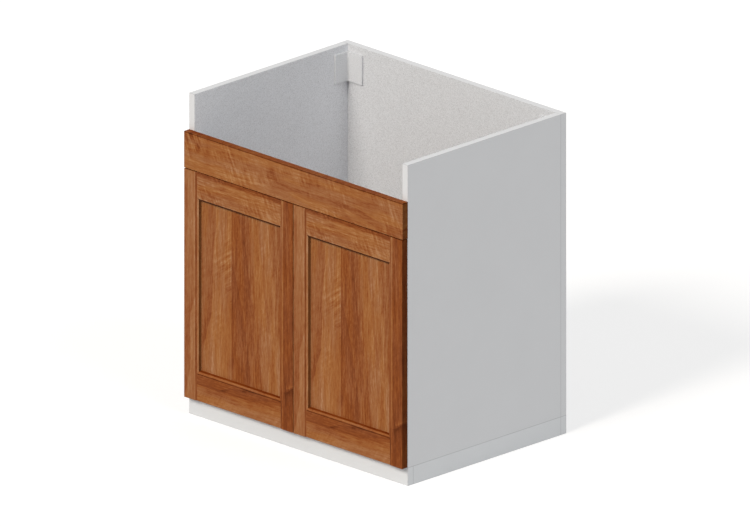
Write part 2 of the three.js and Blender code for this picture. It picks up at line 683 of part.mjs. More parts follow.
function hingePlate() {
  const plate = [BOARD, BOARD + PLATE_THICKNESS];
  const wingHalf = PLATE_WING_WIDTH / 2;
  const bossHalf = CHEEK_LAYER[0] - LAYER_GAP;
  const screwHeads = [1, -1].map((way) => rod(
    PLATE_SCREW_RADIUS,
    X_AXIS,
    new THREE.Vector3(BOARD + PLATE_THICKNESS / 2, PLATE_SCREW_LINE, way * PLATE_SCREW_SPACING / 2),
    PLATE_THICKNESS / 2 + PLATE_SCREW_HEIGHT,
  ));
  const screwHole = rod(
    ARM_SCREW_RADIUS + PIN_CLEARANCE,
    X_AXIS,
    new THREE.Vector3(BOSS_TOP - ARM_SCREW_LENGTH - CUT_PAST, ARM_SCREW_LINE, 0),
    ARM_SCREW_LENGTH + 2 * CUT_PAST,
  );
  const body = join([
    box(plate, [PLATE_START, PLATE_END], [-PLATE_HALF_HEIGHT, PLATE_HALF_HEIGHT]),
    box(
      plate,
      [PLATE_SCREW_LINE - wingHalf, PLATE_SCREW_LINE + wingHalf],
      [-PLATE_WING_HALF_HEIGHT, PLATE_WING_HALF_HEIGHT],
    ),
    box(
      [BOARD + PLATE_THICKNESS / 2, BOSS_TOP],
      [PLATE_START + BOSS_INSET, PLATE_END - BOSS_INSET],
      [-bossHalf, bossHalf],
    ),
    ...screwHeads,
  ]);
  return cut(body, [screwHole]);
}

// A folded channel: its web lies on the plate's rail, its cheeks carry the links' pins.
function hingeArm() {
  const webTop = BOSS_TOP + SHEET;
  const cheekBottom = webTop - ARM_CHEEK_HEIGHT;
  const [a, b] = [PIVOT_OUTER_ARM, PIVOT_INNER_ARM];
  const webStart = PLATE_START + ARM_WEB_START;
  const cheek = outline([
    [cheekBottom, PLATE_END],
    [cheekBottom, PLATE_START + ARM_CHEEK_START],
    [a.x - ARM_EYE_RADIUS, a.y],
    [a.x + ARM_TOE, a.y - ARM_TOE],
    [b.x + ARM_TOE, b.y + ARM_TOE],
    [b.x + ARM_TOE, a.y + ARM_TOE],
    [webTop, webStart],
    [webTop, PLATE_END],
  ]);
  const cheeks = bothWays(CHEEK_LAYER).flatMap((span) => [
    raise(cheek, span),
    raise(strap(a, b, ARM_EYE_RADIUS), span),
  ]);
  const web = box([BOSS_TOP, webTop], [webStart, PLATE_END], [-CHEEK_LAYER[1], CHEEK_LAYER[1]]);
  const pinHoles = [a, b].map((at) => upright(at, PIN_RADIUS + PIN_CLEARANCE, CHEEK_LAYER[1] + CUT_PAST));
  const screwHole = rod(
    ARM_SCREW_RADIUS + PIN_CLEARANCE,
    X_AXIS,
    new THREE.Vector3(BOSS_TOP - CUT_PAST, ARM_SCREW_LINE, 0),
    SHEET + 2 * CUT_PAST,
  );
  return cut(join([...cheeks, web]), [...pinHoles, screwHole]);
}

function armScrew() {
  const seat = BOSS_TOP + SHEET;
  const shaft = turned(
    [
      [0, seat - ARM_SCREW_LENGTH],
      [ARM_SCREW_RADIUS, seat - ARM_SCREW_LENGTH],
      [ARM_SCREW_RADIUS, seat],
      [ARM_SCREW_HEAD_RADIUS, seat],
      [ARM_SCREW_HEAD_RADIUS, seat + ARM_SCREW_HEAD - ARM_SCREW_CHAMFER],
      [ARM_SCREW_HEAD_RADIUS - ARM_SCREW_CHAMFER, seat + ARM_SCREW_HEAD],
      [0, seat + ARM_SCREW_HEAD],
    ],
    X_AXIS,
    new THREE.Vector3(0, ARM_SCREW_LINE, 0),
    SMALL_ROUND,
  );
  const slot = ([y, z]) => box(
    [seat + ARM_SCREW_HEAD - ARM_SCREW_SLOT_DEPTH, seat + ARM_SCREW_HEAD + CUT_PAST],
    [ARM_SCREW_LINE - y, ARM_SCREW_LINE + y],
    [-z, z],
  );
  return cut(shaft, [slot(ARM_SCREW_SLOT), slot(ARM_SCREW_SLOT.toReversed())]);
}

const HINGE_PIECES = {
  plate: hingePlate(),
  arm: hingeArm(),
  screw: armScrew(),
  outer_link: outerLink(),
  inner_link: innerLink(),
  cup: hingeCup(),
};

for (const [height, z] of Object.entries(HINGE_HEIGHTS)) {
  for (const [piece, body] of Object.entries(HINGE_PIECES)) {
    addBothSides(`hinge_${piece}_SIDE_${height}`, placeHinge(body, z), STEEL);
  }
}

export default cabinet;
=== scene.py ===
# %% [markdown]
# # A sink base cabinet, dressed in Blender
#
# The cabinet's shapes come from its CAD model, which this script loads as a fixed frame.
# Every board, door member and hinge link is already the right size and in the right place.
# What is left for Blender is how the surfaces look: white melamine board, a warm brown
# hardwood with its figure, plated steel, and the light of a plain studio.
#
# The script clears Blender's start-up scene first, so nothing but the cabinet is in it.

# %% Load the frame
import json
import math

import bpy
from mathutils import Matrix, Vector

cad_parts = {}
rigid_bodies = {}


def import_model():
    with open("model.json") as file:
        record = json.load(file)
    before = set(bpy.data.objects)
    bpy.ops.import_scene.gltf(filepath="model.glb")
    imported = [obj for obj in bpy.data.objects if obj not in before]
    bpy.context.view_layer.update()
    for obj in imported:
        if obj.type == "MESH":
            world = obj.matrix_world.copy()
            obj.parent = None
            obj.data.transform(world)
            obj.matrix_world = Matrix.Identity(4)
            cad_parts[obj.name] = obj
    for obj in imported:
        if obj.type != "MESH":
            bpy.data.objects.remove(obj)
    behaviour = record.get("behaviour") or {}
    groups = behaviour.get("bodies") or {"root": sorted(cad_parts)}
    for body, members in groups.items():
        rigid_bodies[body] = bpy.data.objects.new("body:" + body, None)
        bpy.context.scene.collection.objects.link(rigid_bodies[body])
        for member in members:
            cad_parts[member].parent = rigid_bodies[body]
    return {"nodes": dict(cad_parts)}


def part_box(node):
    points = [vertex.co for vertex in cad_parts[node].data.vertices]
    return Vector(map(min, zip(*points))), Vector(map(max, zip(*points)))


for leftover in list(bpy.data.objects):
    bpy.data.objects.remove(leftover)

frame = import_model()
cad_nodes = frame["nodes"]
bpy.context.view_layer.update()
print("CAD pieces:", len(cad_nodes))

# %% [markdown]
# ## The camera
#
# The picture to match has no vanishing points: the cabinet's parallel edges stay parallel.
# A very long lens from far away would come close to that, but an orthographic camera does
# it exactly. It looks from the front right, 45 degrees round, and from a little above, at
# the height whose sine is one third, which is 19.47 degrees. One number then sets the
# picture's width in metres, and one point is in its middle.

# %% Set up the camera
PICTURE_WIDTH = 1.9408
AIM_POINT = Vector((0.0, 0.0, 0.441))
AROUND = math.radians(45.0)
ABOVE = math.asin(1.0 / 3.0)
STAND_OFF = 6.0
FAR_LIMIT = 40.0

towards_camera = Vector((
    math.sin(AROUND) * math.cos(ABOVE),
    -math.cos(AROUND) * math.cos(ABOVE),
    math.sin(ABOVE),
))
camera_data = bpy.data.cameras.new("picture_camera")
camera_data.type = "ORTHO"
camera_data.ortho_scale = PICTURE_WIDTH
camera_data.clip_end = FAR_LIMIT
camera = bpy.data.objects.new("picture_camera", camera_data)
camera.location = AIM_POINT + STAND_OFF * towards_camera
camera.rotation_mode = "QUATERNION"
camera.rotation_quaternion = (-towards_camera).to_track_quat("-Z", "Y")
bpy.context.scene.collection.objects.link(camera)
bpy.context.scene.camera = camera
print("camera at", [round(place, 3) for place in camera.location])

# %% [markdown]
# ## Building materials from nodes
#
# A procedural material is a small program of nodes: each takes numbers or colours in, and
# gives one out. It could be wired by hand in the shader editor, but the wood below has
# hundreds of nodes. So a few short helpers do the wiring, and the later cells read like
# arithmetic. The first four add a node, plug in its inputs, calculate, and take a vector
# apart.

# %% Add a node, plug it in, calculate
def node(tree, kind, *inputs, out=0, **settings):
    """Adds a node, feeds its inputs in order, and returns one of its outputs."""
    made = tree.nodes.new("ShaderNode" + kind)
    for setting, value in settings.items():
        setattr(made, setting, value)
    for socket, value in zip(made.inputs, inputs):
        feed(tree, socket, value)
    return made.outputs[out]


def feed(tree, socket, value):
    """Links an output to a socket, or writes a plain number or vector in it."""
    if isinstance(value, bpy.types.NodeSocket):
        tree.links.new(value, socket)
    elif value is not None:
        socket.default_value = value


def calc(tree, operation, *values, clamp=False):
    """One step of arithmetic; each value is a number or another node's output."""
    return node(tree, "Math", *values, operation=operation, use_clamp=clamp)


def split_axes(tree, vector):
    """The three parts of a vector: x, y and z."""
    split = tree.nodes.new("ShaderNodeSeparateXYZ")
    tree.links.new(vector, split.inputs[0])
    return split.outputs


print("helpers made: node, feed, calc, split_axes")

# %% [markdown]
# The next three turn one range of numbers into another, and read a colour or a level off a
# list of stops. Blender's colour ramp does the reading. It only knows places from 0 to 1
# and greys from black to white, so the lists are scaled to fit it and the answer is scaled
# back. That way a list can be written in plain millimetres.

# %% Ranges and lists of stops
def remap(tree, value, old, new, soft=True):
    """Turns the range old into the range new, with soft ends."""
    curve = "SMOOTHSTEP" if soft else "LINEAR"
    return node(tree, "MapRange", value, *old, *new, interpolation_type=curve)


def ramp(tree, value, stops):
    """A colour for each number, read off a list of (number, colour) stops."""
    first, last = stops[0][0], stops[-1][0]
    made = tree.nodes.new("ShaderNodeValToRGB")
    elements = made.color_ramp.elements
    while len(elements) < len(stops):
        elements.new(0.5)
    for element, (at, colour) in zip(elements, stops):
        element.position = (at - first) / (last - first)
        element.color = colour
    tree.links.new(remap(tree, value, (first, last), (0, 1), soft=False), made.inputs[0])
    return made.outputs[0]


def tone_ramp(tree, value, stops):
    """A number for each number, read off a list of (number, level) stops."""
    levels = [level for at, level in stops]
    low, high = min(levels), max(levels)
    greys = [((level - low) / (high - low),) * 3 + (1.0,) for level in levels]
    share = ramp(tree, value, [(at, grey) for (at, level), grey in zip(stops, greys)])
    return remap(tree, share, (0, 1), (low, high), soft=False)


print("helpers made: remap, ramp, tone_ramp")

# %% [markdown]
# The last three are about colour. Blender calculates in linear light, where half the number
# is half the light, but paints and stains are usually written as six-digit screen colours.
# One helper turns such a code into linear light, with the standard formula.

# %% Colours and empty finishes
def tint(tree, factor, first, second, blend="MIX"):
    """Mixes two colours, or multiplies the first by the second."""
    made = tree.nodes.new("ShaderNodeMix")
    made.data_type = "RGBA"
    made.blend_type = blend
    feed(tree, made.inputs[0], factor)
    feed(tree, made.inputs[6], first)
    feed(tree, made.inputs[7], second)
    return made.outputs[2]


def paint(code):
    """A linear colour from the usual six-digit code of a paint or stain."""
    parts = [int(code[i:i + 2], 16) / 255 for i in (1, 3, 5)]
    linear = [p / 12.92 if p <= 0.04045 else ((p + 0.055) / 1.055) ** 2.4 for p in parts]
    return (*linear, 1.0)


def new_finish(name):
    """An empty material with its node tree and its surface shader."""
    finish = bpy.data.materials.new(name)
    finish.use_nodes = True
    tree = finish.node_tree
    shader = tree.nodes["Principled BSDF"]
    return finish, tree, shader


print("a mid grey #808080 in linear light:", round(paint("#808080")[0], 3))

# %% [markdown]
# ## The studio
#
# The cabinet stands on a plain floor, in front of nothing. Both the floor and the sky have to
# look pure white to the camera, and to metal that mirrors them. With so much light in the
# scene, the cabinet itself would be bleached. So a test finds the rays that come from the
# camera, a mirror or glass, and lifts the background to white for those rays alone.

# %% Which rays see the background
WHITE = (1.0, 1.0, 1.0, 1.0)


def white_behind(tree):
    """1 for the rays that see the background: camera, mirror and glass rays."""
    ray = tree.nodes.new("ShaderNodeLightPath")
    seen = calc(tree, "MAXIMUM", ray.outputs["Is Camera Ray"], ray.outputs["Is Glossy Ray"])
    return calc(tree, "MAXIMUM", seen, ray.outputs["Is Transmission Ray"])


print("rays that see a white background: camera, mirror and glass")

# %% [markdown]
# The sky gives the even part of the light, which fills the shadows from all round. A picture
# of a real studio could be used, but its windows and lamps would show in the hinges. One
# plain strength does, and the test above mixes it with the white that is seen.

# %% The sky
SKY_STRENGTH = 0.42

world = bpy.data.worlds.new("studio")
world.use_nodes = True
bpy.context.scene.world = world
sky_tree = world.node_tree
sky_tree.nodes.clear()
soft_light = node(sky_tree, "Background", WHITE, SKY_STRENGTH)
white_wall = node(sky_tree, "Background", WHITE, 1.0)
sky = node(sky_tree, "MixShader", white_behind(sky_tree), soft_light, white_wall)
world_output = sky_tree.nodes.new("ShaderNodeOutputWorld")
sky_tree.links.new(sky, world_output.inputs["Surface"])
print("sky strength:", SKY_STRENGTH)

# %% [markdown]
# The floor throws light back up, into the cabinet and under its edges. A white floor would
# throw up too much, so it is really grey, and a little glow lifts it to white where it is
# seen. It is dull, since a shine would mirror the cabinet, and so wide that no end of it
# shows.

# %% The floor's finish
FLOOR_GREY = (0.57, 0.57, 0.57, 1.0)
FLOOR_ROUGHNESS = 0.9
FLOOR_LIFT = 0.54

floor_finish, floor_tree, floor_shader = new_finish("floor_white")
floor_shader.inputs["Base Color"].default_value = FLOOR_GREY
floor_shader.inputs["Roughness"].default_value = FLOOR_ROUGHNESS
floor_shader.inputs["Specular IOR Level"].default_value = 0.0
floor_shader.inputs["Emission Color"].default_value = WHITE
lift = calc(floor_tree, "MULTIPLY", white_behind(floor_tree), FLOOR_LIFT)
floor_tree.links.new(lift, floor_shader.inputs["Emission Strength"])
print("floor grey:", FLOOR_GREY[0], "lifted by", FLOOR_LIFT, "for the camera")

# %% The floor itself
FLOOR_SIZE = 40.0

half = FLOOR_SIZE / 2
floor_corners = [(-half, -half, 0), (half, -half, 0), (half, half, 0), (-half, half, 0)]
floor_mesh = bpy.data.meshes.new("studio_floor")
floor_mesh.from_pydata(floor_corners, [], [(0, 1, 2, 3)])
floor_mesh.materials.append(floor_finish)
floor = bpy.data.objects.new("studio_floor", floor_mesh)
bpy.context.scene.collection.objects.link(floor)
print("floor:", FLOOR_SIZE, "m square")

# %% [markdown]
# ## The lamps
#
# The rest of the light comes from a large warm lamp straight in front and a weaker white one
# at the right side. Panels of light close by could do this too, but they would light the
# near end of a board more than the far end, and the faces to match are even. So both lamps
# are distant. They stand high enough to reach over the fascia and the sides, deep into the
# cabinet. Each is square to one side and sets the brightness of that side alone: the fronts
# come out about as bright as their own colour, and the right side gets about two thirds of
# their light. The view transform is the Standard one, which shows colours as they are mixed.

# %% The two lamps
FRONT_LAMP_HEIGHT = math.radians(38)
FRONT_LAMP_STRENGTH = 2.165
FRONT_LAMP_COLOUR = (1.0, 0.94, 0.862)
FRONT_LAMP_WIDTH = 20
SIDE_LAMP_HEIGHT = math.radians(42)
SIDE_LAMP_STRENGTH = 0.70
SIDE_LAMP_COLOUR = (1.0, 1.0, 1.0)
SIDE_LAMP_WIDTH = 30


def soft_lamp(name, strength, colour, width, toward):
    """A distant lamp, so many degrees wide, that shines from the direction toward."""
    lamp_data = bpy.data.lights.new(name, "SUN")
    lamp_data.energy = strength
    lamp_data.color = colour
    lamp_data.angle = math.radians(width)
    lamp = bpy.data.objects.new(name, lamp_data)
    lamp.rotation_mode = "QUATERNION"
    lamp.rotation_quaternion = (-Vector(toward)).to_track_quat("-Z", "Y")
    bpy.context.scene.collection.objects.link(lamp)
    print(name, "shines from", [round(part, 2) for part in toward])


from_front = (0.0, -math.cos(FRONT_LAMP_HEIGHT), math.sin(FRONT_LAMP_HEIGHT))
from_side = (math.cos(SIDE_LAMP_HEIGHT), 0.0, math.sin(SIDE_LAMP_HEIGHT))
soft_lamp("front_lamp", FRONT_LAMP_STRENGTH, FRONT_LAMP_COLOUR, FRONT_LAMP_WIDTH, from_front)
soft_lamp("side_lamp", SIDE_LAMP_STRENGTH, SIDE_LAMP_COLOUR, SIDE_LAMP_WIDTH, from_side)

bpy.context.scene.view_settings.view_transform = "Standard"

# %% [markdown]
# ## White melamine board
#
# The carcass is cut from chipboard with a white melamine face, and its cut edges carry a
# strip of the same white, glued on. Melamine isn't a flat colour: its paper has a faint
# fine speckle, and its press plate leaves a soft texture that dulls the shine. Inside the
# cabinet the faces are the coarser, plainly speckled sort. The glue line of the edge strip
# shows as a thin darker line beside every edge, except on the speckled faces, which hide it.
#
# The line could be modelled as a groove, but it is only a tenth of a millimetre deep, so it
# is drawn in the finish. That needs the distance to the nearest edge. In a box, the three
# distances of a point from the six faces are known from its place. On a face the smallest of
# them is zero, and the next one up is the distance to the nearest edge. So each board gets
# its own copy of the finish, with its own box in it.

# %% Distance to the nearest edge of a box
def edge_distance(tree, place, low, high):
    """Metres from a point on a box's surface to the nearest edge of the box."""
    middle = (Vector(low) + Vector(high)) / 2
    reach = (Vector(high) - Vector(low)) / 2
    centred = node(tree, "VectorMath", place, middle, operation="SUBTRACT")
    folded = node(tree, "VectorMath", centred, operation="ABSOLUTE")
    inside = node(tree, "VectorMath", reach, folded, operation="SUBTRACT")
    x, y, z = split_axes(tree, inside)
    nearer = calc(tree, "MINIMUM", x, y)
    further = calc(tree, "MAXIMUM", x, y)
    return calc(tree, "MAXIMUM", nearer, calc(tree, "MINIMUM", further, z))


side_panel_size = [round(1000 * edge) for edge in cad_nodes["side_panel_right"].dimensions]
print("a side panel's box, mm:", side_panel_size)

# %% [markdown]
# The speckle is noise in three sizes: a cloud over the whole board, a fine grit, and, on the
# inner faces, printed specks. The grit also roughens the surface a little, so that the
# shine is broken up where the tone is.

# %% Speckled paper
NOISE_SPAN = (0.3, 0.7)
CLOUD_SCALE = 9.0
CLOUD_DEPTH = 0.008
SPECK_SCALE = 620.0
SPECK_SPAN = (0.54, 0.64)
SPECK_DEPTH = 0.16
SPECK_COVER = 0.03
OUTER_SPECKLE = 0.006
INNER_SPECKLE = 0.12


def printed_specks(tree, place):
    """The change of shade for fine printed specks: a little paler between them."""
    specks = node(tree, "TexNoise", place, None, SPECK_SCALE, 1.0, 0.5)
    return remap(tree, specks, SPECK_SPAN, (SPECK_COVER, -SPECK_DEPTH))


def melamine_shade(tree, place, inner, grit):
    """How light the paper is: a faint cloud and grit, and inside the printed specks."""
    cloud = node(tree, "TexNoise", place, None, CLOUD_SCALE, 2.0, 0.5)
    cloud = remap(tree, cloud, NOISE_SPAN, (-1, 1), soft=False)
    spread = remap(tree, inner, (0, 1), (OUTER_SPECKLE, INNER_SPECKLE))
    shade = calc(tree, "MULTIPLY_ADD", grit, spread, 1.0)
    shade = calc(tree, "MULTIPLY_ADD", printed_specks(tree, place), inner, shade)
    return calc(tree, "MULTIPLY_ADD", cloud, CLOUD_DEPTH, shade)


print("speckle outside and inside:", OUTER_SPECKLE, INNER_SPECKLE)

# %% [markdown]
# The finish of a board joins these: its white, the speckle, the glue line, and a slight
# roughness. Each board is told which way its inner face looks, so that one finish can wear
# the plain white outside and the speckled one inside.

# %% White melamine
BOARD_OUTSIDE = paint("#dadcdf")
PLINTH_OUTSIDE = paint("#dde0e3")
SIDE_INSIDE = paint("#dfe1e5")
BACK_INSIDE = paint("#d8dadd")
FACING_SPAN = (0.5, 0.9)
GRIT_SCALE = 330.0
GRIT_BUMP = 0.25
GRIT_HEIGHT = 0.00012
GLUE_LINE = 0.62
GLUE_LINE_WIDTH = 0.0011
BOARD_ROUGHNESS = (0.48, 0.60)
BOARD_SHINE = 0.25


def add_bump(tree, shader, height, strength, depth):
    """Roughens a surface by a height map; depth is in metres."""
    bump = tree.nodes.new("ShaderNodeBump")
    bump.inputs["Strength"].default_value = strength
    bump.inputs["Distance"].default_value = depth
    tree.links.new(height, bump.inputs["Height"])
    tree.links.new(bump.outputs[0], shader.inputs["Normal"])


def board_finish(name, low, high, inward, outer_white, inner_white):
    """White melamine for one board; inward is the direction its inner face looks."""
    finish, tree, shader = new_finish(name)
    spot = tree.nodes.new("ShaderNodeTexCoord")
    place, facing = spot.outputs["Object"], spot.outputs["Normal"]
    looks_in = node(tree, "VectorMath", facing, inward, out="Value", operation="DOT_PRODUCT")
    inner = remap(tree, looks_in, FACING_SPAN, (0, 1))
    grit = node(tree, "TexNoise", place, None, GRIT_SCALE, 3.0, 0.7)
    grit = remap(tree, grit, NOISE_SPAN, (-1, 1), soft=False)
    shade = melamine_shade(tree, place, inner, grit)
    edge = edge_distance(tree, place, low, high)
    line = remap(tree, edge, (0.0, GLUE_LINE_WIDTH), (GLUE_LINE, 1.0))
    line = calc(tree, "MAXIMUM", line, inner)
    shade = calc(tree, "MULTIPLY", shade, line)
    white = tint(tree, inner, outer_white, inner_white)
    tree.links.new(tint(tree, 1.0, white, shade, "MULTIPLY"), shader.inputs["Base Color"])
    rough = remap(tree, grit, (-1, 1), BOARD_ROUGHNESS, soft=False)
    tree.links.new(rough, shader.inputs["Roughness"])
    shader.inputs["Specular IOR Level"].default_value = BOARD_SHINE
    add_bump(tree, shader, grit, GRIT_BUMP, GRIT_HEIGHT)
    return finish


print("board white in linear light:", [round(part, 3) for part in BOARD_OUTSIDE[:3]])

# %% [markdown]
# Nine boards wear it. The whites differ by a hair, as boards from several sheets do: the
# plinth's is the palest outside, and the sides' is the palest inside.

# %% Dress the boards
BOARD_INWARD = {
    "side_panel_left": (1, 0, 0),
    "side_panel_right": (-1, 0, 0),
    "bottom_panel": (0, 0, 1),
    "back_panel": (0, -1, 0),
    "front_rail": (0, 1, 0),
    "plinth_front": (0, 1, 0),
    "plinth_back": (0, -1, 0),
    "plinth_left": (1, 0, 0),
    "plinth_right": (-1, 0, 0),
}


def dress(name, finish):
    """Puts a finish on a CAD piece."""
    for slot in cad_nodes[name].material_slots:
        slot.material = finish


for board, inward in BOARD_INWARD.items():
    outer_white = PLINTH_OUTSIDE if board.startswith("plinth") else BOARD_OUTSIDE
    inner_white = SIDE_INSIDE if board.startswith("side_panel") else BACK_INSIDE
    box_low, box_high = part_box(board)
    name = "melamine_" + board
    dress(board, board_finish(name, box_low, box_high, inward, outer_white, inner_white))
print("white boards:", len(BOARD_INWARD))

# %% [markdown]
# ## The wood and its layers
#
# The fronts are a warm brown hardwood under a thin oiled finish. Seen close, wood is many
# layers at once, and each is long in the grain's direction and narrow across it:
#
# - broad bands of darker and lighter wood, a few centimetres wide;
# - ring lines, which are crisp on one side and fade away on the other;
# - streaks a few millimetres wide, and fibres finer than one;
# - a ripple across the grain, where the fibres wave and catch the light;
# - knots, round which the grain flows;
# - pores, which are short dark dashes.
#
# A picture of wood could be laid on the boards, but it would run off at the edges and
# repeat. Here each layer is a noise or a distance instead, worked out in the board's own
# millimetres: along the grain, across it, and into the thickness. So the figure runs round
# every edge and groove as it does in solid wood. The layers add up to one number, the tone,
# from 0 for the darkest wood to 1 for the palest, and one ramp of stain colours turns it
# into colour.

# %% The board's own millimetres
MILLIMETRES = (1000, 1000, 1000)


def board_place(tree, grain, start):
    """Millimetres along, across and into a board, from the start corner of its face."""
    spot = node(tree, "TexCoord", out="Object")
    from_start = node(tree, "VectorMath", spot, start, operation="SUBTRACT")
    millimetres = node(tree, "VectorMath", from_start, MILLIMETRES, operation="MULTIPLY")
    x, y, z = split_axes(tree, millimetres)
    return (z, x, y) if grain == "up" else (x, z, y)


print("the fascia's grain runs along", round(1000 * cad_nodes["fascia"].dimensions.x), "mm")

# %% [markdown]
# Streaks, ripple and pores are all the same noise, stretched by another length and width. A
# seed moves each of them to a fresh part of the noise, so that no two layers share a
# pattern: a layer adds its own number to its board's seed.

# %% Noise stretched along the grain
def grain_noise(tree, place, length, width, seed, detail=2.0, twist=0.0):
    """Noise of about -1 to 1, in patches so many millimetres long and wide."""
    along, across, into = place
    stretched = node(
        tree,
        "CombineXYZ",
        calc(tree, "MULTIPLY_ADD", along, 1 / length, 13.7 * seed),
        calc(tree, "MULTIPLY_ADD", across, 1 / width, 5.3 * seed),
        calc(tree, "MULTIPLY_ADD", into, 1 / width, 2.9 * seed),
    )
    noise = node(tree, "TexNoise", stretched, None, 1.0, detail, 0.55, None, twist)
    return remap(tree, noise, (0.25, 0.75), (-1, 1), soft=False)


def add_layer(tree, tone, layer, weight):
    """The tone with a layer added, at a weight."""
    return calc(tree, "MULTIPLY_ADD", layer, weight, tone)


print("helpers made: grain_noise, add_layer")

# %% [markdown]
# The bands come from a list of tones across the board. On real wood they don't run dead
# straight: a board may have been cut at a slant to them, and they wander. So the place
# across is first shifted by a list of sways along the board, and by a slow noise.

# %% Broad bands
BAND_WANDER = (380, 70)


def band_tone(tree, place, board, seed):
    """The tone of the broad bands, which sway and drift sideways as they run along."""
    along, across, into = place
    wander = grain_noise(tree, place, *BAND_WANDER, seed)
    if "sway" in board:
        across = calc(tree, "SUBTRACT", across, tone_ramp(tree, along, board["sway"]))
    across = calc(tree, "MULTIPLY_ADD", wander, board["drift"], across)
    return tone_ramp(tree, across, board["bands"])


print("bands wander over patches of", BAND_WANDER, "mm")

# %% [markdown]
# A ring line is where one year's growth ends, dark and dense, and the next begins, pale. So
# it is crisp on one side and fades on the other. Noise alone can't give such a line where
# it is wanted. It is drawn as a route along the board, with its distance from the route
# fading away on one side. A mark is the same line across the grain, as beside a knot.

# %% Ring lines
LINE_EDGE = (-1.2, 0.6)
LINE_WANDER = (90, 60)
LINE_WANDER_REACH = 2.5
LINE_END = 25


def ring_line(tree, place, wander, points, fade, depth, span):
    """A line that is crisp on one side and fades on the other; 0 elsewhere.

    The points give its way along and across the board. It is darker than the wood by depth,
    or paler where depth is below zero, and fades over so many millimetres: away from the
    board's start, or towards it where fade is below zero. The span is where it begins and
    ends along the board.
    """
    along, across, into = place
    route = tone_ramp(tree, along, points)
    away = calc(tree, "ADD", calc(tree, "SUBTRACT", across, route), wander)
    if fade < 0:
        away = calc(tree, "MULTIPLY", away, -1.0)
    behind = calc(tree, "DIVIDE", calc(tree, "MAXIMUM", away, 0.0), -abs(fade))
    crisp = remap(tree, away, LINE_EDGE, (0, 1))
    ease = min(LINE_END, (span[1] - span[0]) / 4)
    starts = remap(tree, along, (span[0] - ease, span[0] + ease), (0, 1))
    ends = remap(tree, along, (span[1] - ease, span[1] + ease), (1, 0))
    line = calc(tree, "MULTIPLY", calc(tree, "EXPONENT", behind), crisp)
    line = calc(tree, "MULTIPLY", line, calc(tree, "MULTIPLY", starts, ends))
    return calc(tree, "MULTIPLY", line, -depth)


def line_tone(tree, place, board, seed):
    """What the ring lines, and the marks that cross the grain, add to a board's tone."""
    along, across, into = place
    wander = grain_noise(tree, place, *LINE_WANDER, seed + 7)
    wander = calc(tree, "MULTIPLY", wander, LINE_WANDER_REACH)
    total = 0.0
    for line in board.get("lines", ()):
        total = calc(tree, "ADD", total, ring_line(tree, place, wander, **line))
    for mark in board.get("marks", ()):
        total = calc(tree, "ADD", total, ring_line(tree, (across, along, into), wander, **mark))
    return total


print("a ring line is crisp within", round(LINE_EDGE[1] - LINE_EDGE[0], 1), "mm")

# %% [markdown]
# The ripple is a patchy noise of short strokes that lean across the grain. It is strongest
# round one middle, where the real board shows it most. A knot pushes the grain aside: the
# place itself is shifted near it, and every layer that is read off there flows round it. A
# pore is a short dash where the noise of a fine, long stretch is at its highest.

# %% Ripple, knots and pores
RIPPLE_STROKE = (8, 30)
RIPPLE_PATCH = (120, 60)
PATCH_SPAN = (-0.4, 0.4)
KNOT_LIFT = 1.5
KNOT_PUSH = -0.9
PORE_SIZE = (7.0, 0.55)
PORE_SPAN = (0.62, 0.95)


def nearness(tree, place, middle, reach):
    """1 at a middle, falling to 0 around it; both are along and across, in millimetres."""
    away = []
    for part, centre, span in zip(place, middle, reach):
        share = calc(tree, "DIVIDE", calc(tree, "SUBTRACT", part, centre), span)
        away.append(calc(tree, "MULTIPLY", share, share))
    return calc(tree, "EXPONENT", calc(tree, "MULTIPLY", calc(tree, "ADD", *away), -0.5))


def ripple(tree, place, slope, middle, reach, elsewhere, seed):
    """Short strokes that lean across the grain, in patches, weaker away from a middle."""
    along, across, into = place
    leaned = calc(tree, "MULTIPLY_ADD", across, slope, along)
    strokes = grain_noise(tree, (leaned, across, into), *RIPPLE_STROKE, seed, 2.0, 0.4)
    patches = grain_noise(tree, place, *RIPPLE_PATCH, seed + 3)
    patches = remap(tree, patches, PATCH_SPAN, (0, 1))
    heart = nearness(tree, place, middle, reach)
    heart = remap(tree, heart, (0, 1), (elsewhere, 1.0), soft=False)
    return calc(tree, "MULTIPLY", strokes, calc(tree, "MULTIPLY", patches, heart))


def flow_round(tree, place, near_knot, size):
    """The board's place with the grain pushed aside by a knot, along and across."""
    along, across, into = place
    lifted = calc(tree, "MULTIPLY_ADD", near_knot, KNOT_LIFT * size, along)
    pushed = calc(tree, "MULTIPLY_ADD", near_knot, KNOT_PUSH * size, across)
    return lifted, pushed, into


def pores(tree, place, seed):
    """Short dark dashes along the grain; 1 in a pore."""
    dash = grain_noise(tree, place, *PORE_SIZE, seed, 1.0)
    return remap(tree, dash, PORE_SPAN, (0, 1))


print("pores, mm long and wide:", PORE_SIZE)

# %% [markdown]
# All the layers of one board are added here. The streaks come in five sizes, from broad soft
# ones down to fibres. The twist bends them a little, or they would look like pinstripes.
# Their strength is one number for a board, or a list across it where its halves differ.

# %% All the layers of one board
STREAKS = [
    dict(length=260, width=26, detail=2.0, twist=0.3, weight=0.08),
    dict(length=110, width=8.0, detail=3.0, twist=0.6, weight=0.17),
    dict(length=48, width=3.4, detail=2.0, twist=0.5, weight=0.20),
    dict(length=13, width=4.0, detail=2.0, twist=0.5, weight=0.13),
    dict(length=20, width=1.1, detail=1.0, twist=0.3, weight=0.10),
]
KNOT_STRETCH = 1.25


